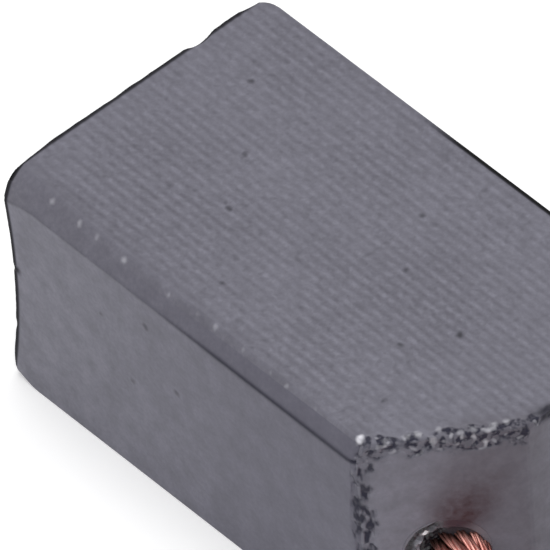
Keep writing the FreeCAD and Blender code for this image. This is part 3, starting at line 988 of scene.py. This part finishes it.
def makePowder(material):
    # a disc of grains across the hole, with a skirt down the bore and a flat end: each point of the disc
    # is sunk by the recess and the groove, and raised by its own grain
    style = powderStyle
    radius = shuntHole["radius"] + style["bedding"]
    angle = np.linspace(0, 2 * math.pi, style["around"], endpoint=False)
    share = np.linspace(0.02, 1, style["rings"])[:, None]
    along, up = radius * share * np.cos(angle), radius * share * np.sin(angle)
    surface = holeMouth + along[..., None] * cutAlong + up[..., None] * upward
    gap, own = crumbCells(surface, 0.15, 91)
    flush = smoothStep(along + 0.25 * up, -0.1, 0.25)
    fromRope = np.hypot(along - ropeStyle["offset"], up) - ropeStyle["diameter"] / 2
    groove = 1 - smoothStep(fromRope, 0.0, style["groove"])
    groove = groove * (1 - 0.3 * smoothStep(along, -0.15, 0.15))
    ragged = share + 0.03 * softNoise(surface, 0.3, 93)
    edge = smoothStep(ragged, 0.91, 0.95) * (1 - flush)
    # painted shadow of the hole's wall on the open side
    wallShadow = np.exp(-((ragged - 0.83) / 0.1) ** 2) * (1 - flush) * (1 - edge)
    heap = style["grain"] * (0.7 * own + 0.8 * smoothStep(gap, 0, 0.5) - 0.5)
    heap = heap * np.minimum(1, (1 - share) * 9)
    level = np.maximum(flush, edge)
    low = style["recess"] * (1 - level) + 0.005 * level + 0.08 * groove
    top = surface + (heap * (1 - level) - low)[..., None] * cutOut
    skirtDepth = shuntHole["depth"] - style["recess"] - 0.05
    skirt = top[-1] - skirtDepth * cutOut
    centre = skirt.mean(axis=0)
    rings = np.concatenate([top, skirt[None], (centre + 0.02 * (skirt - centre))[None]])
    faces = gridFaces(*rings.shape[:2], closedColumns=True)
    first = np.arange(rings.shape[1])
    last = first + (rings.shape[0] - 1) * rings.shape[1]
    glint = 1 - smoothStep(np.hypot(along - style["glint"][0], up - style["glint"][1]), 0.05, 0.13)
    attributes = {
        label: np.concatenate([values, values[-2:] * 0]).ravel()
        for label, values in (
            ("flush", flush), ("smear", 0.92 * smearMasks(surface)["smear"]), ("edge", edge),
            ("groove", np.maximum(groove, 0.95 * wallShadow)), ("glint", glint),
        )
    }
    return buildMesh("tampedPowder", rings.reshape(-1, 3), faces, material, attributes, (first, last[::-1]))


terminalStyle = {"edgeRadius": 0.07, "flatAngle": 1.0, "edgeAngle": 32.0}


def makeTerminal(material):
    # a merged copy of the folded sheet whose stamped edges are softened
    style = terminalStyle
    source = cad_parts["ring_terminal"]
    work = bmesh.new()
    work.from_mesh(source.data)
    bmesh.ops.remove_doubles(work, verts=work.verts, dist=0.00001)
    bmesh.ops.dissolve_limit(
        work, angle_limit=math.radians(style["flatAngle"]), verts=work.verts, edges=work.edges
    )
    mesh = bpy.data.meshes.new("ringTerminalSheet")
    work.to_mesh(mesh)
    work.free()
    mesh.materials.append(material)
    mesh.shade_smooth()
    piece = bpy.data.objects.new("ringTerminalSheet", mesh)
    bpy.context.scene.collection.objects.link(piece)
    bevel = piece.modifiers.new("softEdges", "BEVEL")
    bevel.width = style["edgeRadius"] * mm
    bevel.segments = 3
    bevel.limit_method = "ANGLE"
    bevel.angle_limit = math.radians(style["edgeAngle"])
    bevel.harden_normals = True
    return piece


def seenDirectly(add):
    # 1 for a ray that comes straight from the camera, off a shiny surface or through glass
    path = add("LightPath")
    seen = path.outputs["Is Camera Ray"]
    for ray in ("Is Glossy Ray", "Is Transmission Ray"):
        seen = add("Math", None, {0: seen, 1: path.outputs[ray]}, operation="MAXIMUM")
    return seen


stageStyle = {"colour": "f6f6f6", "glow": 0.35, "reach": 3000.0, "roomLight": 0.25}


def makeStage():
    # plain pale sheet that meets the camera as white and keeps the shadow
    material, add = newMaterial("palePaper")
    diffuse = add("BsdfDiffuse", {"Color": toLinear(stageStyle["colour"])})
    glow = add("Emission", {"Color": (1, 1, 1, 1), "Strength": stageStyle["glow"]})
    both = add("AddShader", None, {0: diffuse, 1: glow})
    choice = add("MixShader", None, {0: seenDirectly(add), 1: diffuse, 2: both})
    add("OutputMaterial", None, {"Surface": choice})
    corners = stageStyle["reach"] * np.array([[-1, -1, 0], [1, -1, 0], [1, 1, 0], [-1, 1, 0]])
    buildMesh("floorSheet", corners, np.array([[0, 1, 2, 3]]), material)


def makeWorld():
    # even room light, seen directly or in a reflection as white
    world = bpy.data.worlds.new("softRoom")
    bpy.context.scene.world = world
    world.use_nodes = True
    world.node_tree.nodes.clear()
    add = partial(addNode, world.node_tree)
    dim = add("Background", {"Color": (1, 1, 1, 1), "Strength": stageStyle["roomLight"]})
    white = add("Background", {"Color": (1, 1, 1, 1), "Strength": 1.0})
    choice = add("MixShader", None, {0: seenDirectly(add), 1: dim, 2: white})
    add("OutputWorld", None, {"Surface": choice})


def turnedTo(back, roll=0.0):
    # rotation of a lamp or camera that looks against back, rolled about that line
    right = np.cross(upward, back)
    right /= np.linalg.norm(right)
    up = np.cross(back, right)
    c, s = math.cos(roll), math.sin(roll)
    axes = np.stack([right * c + up * s, up * c - right * s, back], axis=1)
    return axes, Matrix(axes.tolist()).to_quaternion()


lamps = {                      # place and width in mm, and share of the light on a surface that faces it
    "topLamp": ((-10, 10, 130), 90, 0.61),
    "cutLamp": ((110, -70, 60), 70, 0.235),
    "sideLamp": ((-42, -38, 14), 30, 0.125),
}


def makeLamps():
    # area lamps aimed at the block: power is share times pi squared times distance squared
    for name, (place, width, share) in lamps.items():
        spot = np.array(place, dtype=float)
        distance = np.linalg.norm(spot)
        lamp = bpy.data.lights.new(name, "AREA")
        lamp.size = width * mm
        lamp.energy = share * math.pi ** 2 * (distance * mm) ** 2
        holder = bpy.data.objects.new(name, lamp)
        holder.location = spot * mm
        holder.rotation_mode = "QUATERNION"
        holder.rotation_quaternion = turnedTo(spot / distance)[1]
        bpy.context.scene.collection.objects.link(holder)


cameraStyle = {
    "azimuth": 50.857,
    "elevation": 46.25,
    "roll": -4.23,
    "distance": 450.587,
    "right": 1.7561,           # where the block's middle lies in the view, in mm
    "up": -3.76,
    "lens": 1309.1,
}


def makeCamera():
    # a camera a long way off, with the azimuth counted from -Y towards +X
    style = cameraStyle
    azimuth, elevation = math.radians(style["azimuth"]), math.radians(style["elevation"])
    back = np.array([
        math.sin(azimuth) * math.cos(elevation),
        -math.cos(azimuth) * math.cos(elevation),
        math.sin(elevation),
    ])
    axes, rotation = turnedTo(back, math.radians(style["roll"]))
    place = axes @ np.array([-style["right"], -style["up"], style["distance"]])
    camera = bpy.data.cameras.new("viewCamera")
    camera.lens = style["lens"]
    camera.sensor_width = 36.0
    camera.clip_start = 0.01
    camera.clip_end = 10.0
    holder = bpy.data.objects.new("viewCamera", camera)
    bpy.context.scene.collection.objects.link(holder)
    holder.location = place * mm
    holder.rotation_mode = "QUATERNION"
    holder.rotation_quaternion = rotation
    bpy.context.scene.camera = holder


def declare(piece, node):
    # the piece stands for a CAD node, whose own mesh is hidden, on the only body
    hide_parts(node)
    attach(piece, "root")
    print(piece.name, "made with", len(piece.data.polygons), "faces")


bpy.context.scene.view_settings.view_transform = "Standard"
makeCamera()
rope, ropeLine, ropeExit = makeRope(makeCopperMaterial())
declare(rope, "copper_shunt")
terminal = makeTerminal(makeTinMaterial())
declare(terminal, "ring_terminal")
block = makeCarbonBlock(makeCarbonMaterial())
declare(block, "carbon_block")
plug = makePowder(makePowderMaterial())
declare(plug, "tamping_plug")

makeWorld()
makeStage()
makeLamps()
print("stage, light and camera made")
